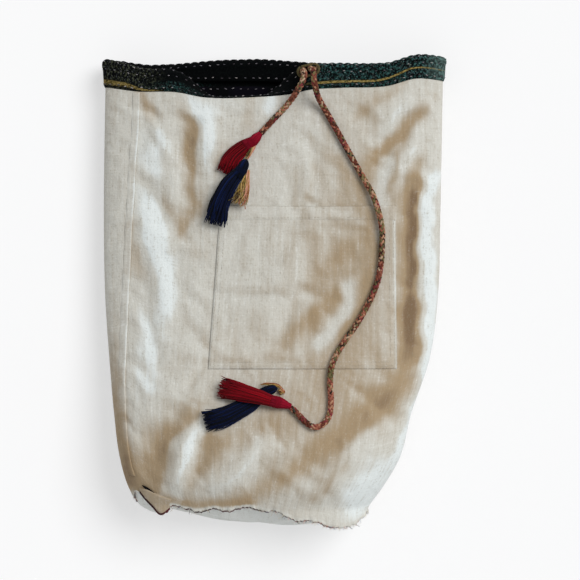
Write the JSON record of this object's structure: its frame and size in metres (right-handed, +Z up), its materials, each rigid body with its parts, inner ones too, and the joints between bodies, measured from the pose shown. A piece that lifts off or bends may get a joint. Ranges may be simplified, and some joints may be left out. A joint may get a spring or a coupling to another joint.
{
  "type": "drawstring backpack",
  "caption": "Round-based drawstring canvas backpack lying flat, with quilted lining, patch pocket, braided drawcord, thread tassels and back straps.",
  "frame": {"origin": "centre of the underside of the lying bag, on the surface it lies on", "axes": "+Y from the base to the mouth, +Z up out of the front"},
  "size_m": [0.3316, 0.4506, 0.1008],
  "materials": {
    "canvas": "matt",
    "lining": "matt",
    "casing_cloth": "matt",
    "thread": "matt",
    "cord": "matt",
    "red_thread": "satin",
    "navy_thread": "satin",
    "cord_fray": "matt",
    "webbing": "matt",
    "patch": "satin",
    "buckle_metal": "brushed"
  },
  "bodies": {
    "bag": {"canvas_wall": "canvas", "lining_wall": "lining", "base_panel": "canvas", "base_lining": "lining", "base_seam_allowance": "canvas", "side_seam": "canvas", "rim_casing": "casing_cloth", "cord_buttonhole": "thread", "casing_cord_run": "cord", "pocket_panel": "canvas", "pocket_hem": "canvas", "drawcord_long_end": "cord", "drawcord_short_end": "cord", "left_shoulder_strap": "webbing", "right_shoulder_strap": "webbing", "left_base_tab": "patch", "right_base_tab": "patch", "strap_anchor_patch": "patch"},
    "left_buckle": {"left_slide_buckle": "buckle_metal"},
    "right_buckle": {"right_slide_buckle": "buckle_metal"},
    "long_end_tassels": {"long_end_red_tassel_head": "red_thread", "long_end_red_tassel_skirt": "red_thread", "long_end_navy_tassel_head": "navy_thread", "long_end_navy_tassel_skirt": "navy_thread", "long_end_frayed_tip": "cord_fray"},
    "short_end_tassels": {"short_end_red_tassel_head": "red_thread", "short_end_red_tassel_skirt": "red_thread", "short_end_navy_tassel_head": "navy_thread", "short_end_navy_tassel_skirt": "navy_thread", "short_end_frayed_tip": "cord_fray"}
  },
  "joints": [
    {"name": "left_buckle_slide", "type": "slide", "parent": "bag", "child": "left_buckle", "axis": [0.1882, 0.9821, 0], "range_m": [-0.09, 0.15]},
    {"name": "right_buckle_slide", "type": "slide", "parent": "bag", "child": "right_buckle", "axis": [-0.0858, 0.9963, 0], "range_m": [-0.09, 0.15]},
    {"name": "long_end_tassels_lift", "type": "hinge", "parent": "bag", "child": "long_end_tassels", "pos_m": [0.0141, -0.1088, 0.0944], "axis": [0.27, 0.9629, 0], "range_deg": [0, 60]},
    {"name": "short_end_tassels_lift", "type": "hinge", "parent": "bag", "child": "short_end_tassels", "pos_m": [-0.0131, 0.1487, 0.0617], "axis": [-0.7283, 0.6853, 0], "range_deg": [0, 60]}
  ]
}
